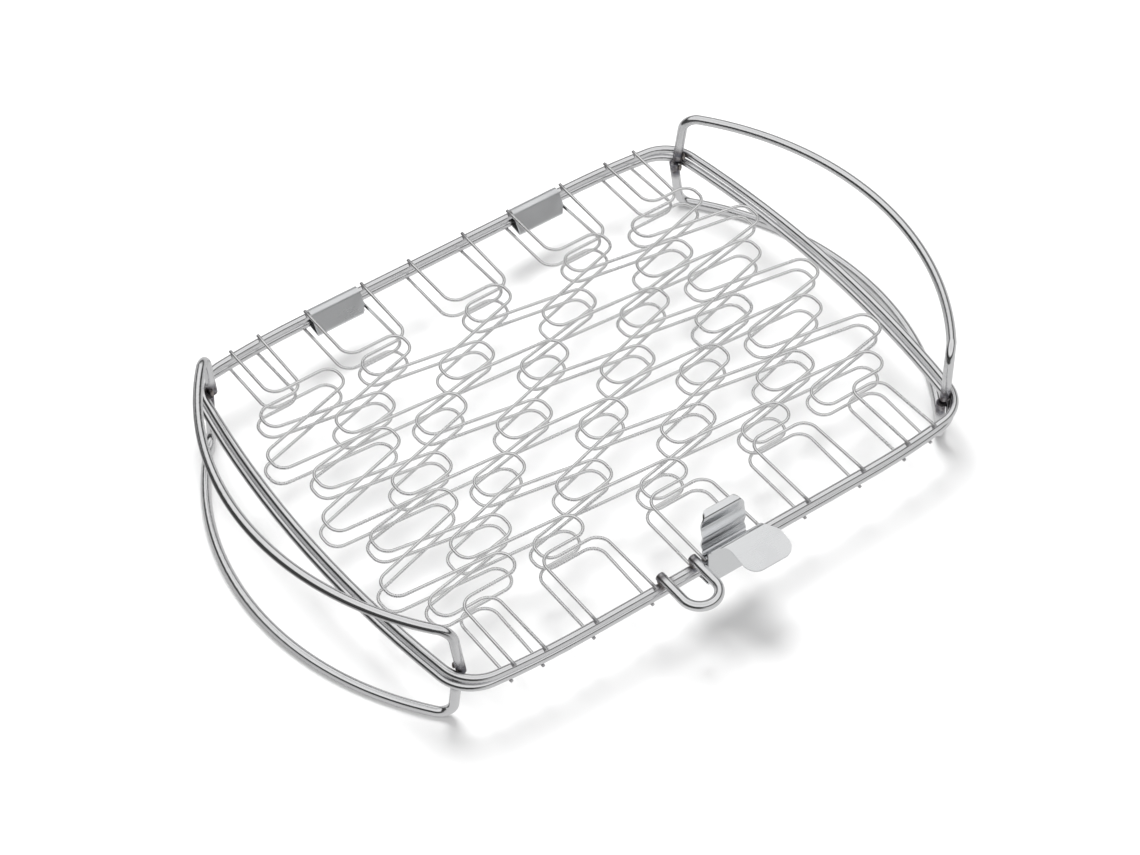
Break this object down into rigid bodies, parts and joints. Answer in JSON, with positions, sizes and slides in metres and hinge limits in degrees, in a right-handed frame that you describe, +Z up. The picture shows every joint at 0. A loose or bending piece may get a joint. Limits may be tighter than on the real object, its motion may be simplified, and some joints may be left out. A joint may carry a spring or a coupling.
{
  "type": "grill basket",
  "caption": "Two hinged stainless wire frames with zigzag wire meshes, bow handles, a thumb loop and a sprung sheet latch, for holding fish on a grill.",
  "frame": {"origin": "on the surface the basket rests on, under the middle of its bounding box", "axes": "+Z up, X along the hinge and the long sides, -Y towards the latch and thumb loop"},
  "size_m": [0.4582, 0.3332, 0.0757],
  "materials": {
    "frame_rod": "bright drawn stainless rod",
    "handle_wire": "bright drawn stainless wire",
    "mesh_wire": "bright fine stainless wire",
    "sleeve_sheet": "satin stainless sheet",
    "latch_sheet": "satin stainless spring sheet"
  },
  "bodies": {
    "base": {"lower_frame": "frame_rod", "lower_handle_left": "handle_wire", "lower_handle_right": "handle_wire", "lower_mesh_wire_01": "mesh_wire", "lower_mesh_wire_02": "mesh_wire", "lower_mesh_wire_03": "mesh_wire", "lower_mesh_wire_04": "mesh_wire", "lower_mesh_wire_05": "mesh_wire", "lower_mesh_wire_06": "mesh_wire", "lower_mesh_wire_07": "mesh_wire", "lower_mesh_wire_08": "mesh_wire", "lower_mesh_wire_09": "mesh_wire", "lower_mesh_wire_10": "mesh_wire"},
    "sleeves": {"hinge_sleeve_left": "sleeve_sheet", "hinge_sleeve_right": "sleeve_sheet"},
    "lid": {"upper_frame": "frame_rod", "upper_handle_left": "handle_wire", "upper_handle_right": "handle_wire", "thumb_loop": "handle_wire", "upper_mesh_wire_01": "mesh_wire", "upper_mesh_wire_02": "mesh_wire", "upper_mesh_wire_03": "mesh_wire", "upper_mesh_wire_04": "mesh_wire", "upper_mesh_wire_05": "mesh_wire", "upper_mesh_wire_06": "mesh_wire", "upper_mesh_wire_07": "mesh_wire", "upper_mesh_wire_08": "mesh_wire", "upper_mesh_wire_09": "mesh_wire", "upper_mesh_wire_10": "mesh_wire"},
    "latch": {"latch_tab": "latch_sheet", "latch_thumb_plate": "latch_sheet"}
  },
  "joints": [
    {"name": "sleeve_swing", "type": "hinge", "parent": "base", "child": "sleeves", "pos_m": [0, 0.16273, 0.0352], "axis": [-1, 0, 0], "range_deg": [0, 90]},
    {"name": "lid_swing", "type": "hinge", "parent": "sleeves", "child": "lid", "pos_m": [0, 0.16273, 0.0405], "axis": [-1, 0, 0], "range_deg": [0, 90]},
    {"name": "latch_rock", "type": "hinge", "parent": "base", "child": "latch", "pos_m": [0, -0.13407, 0.0352], "axis": [-1, 0, 0], "range_deg": [0, 8], "stiffness_Nm_per_rad": 0.5, "springref_deg": -5.73}
  ]
}
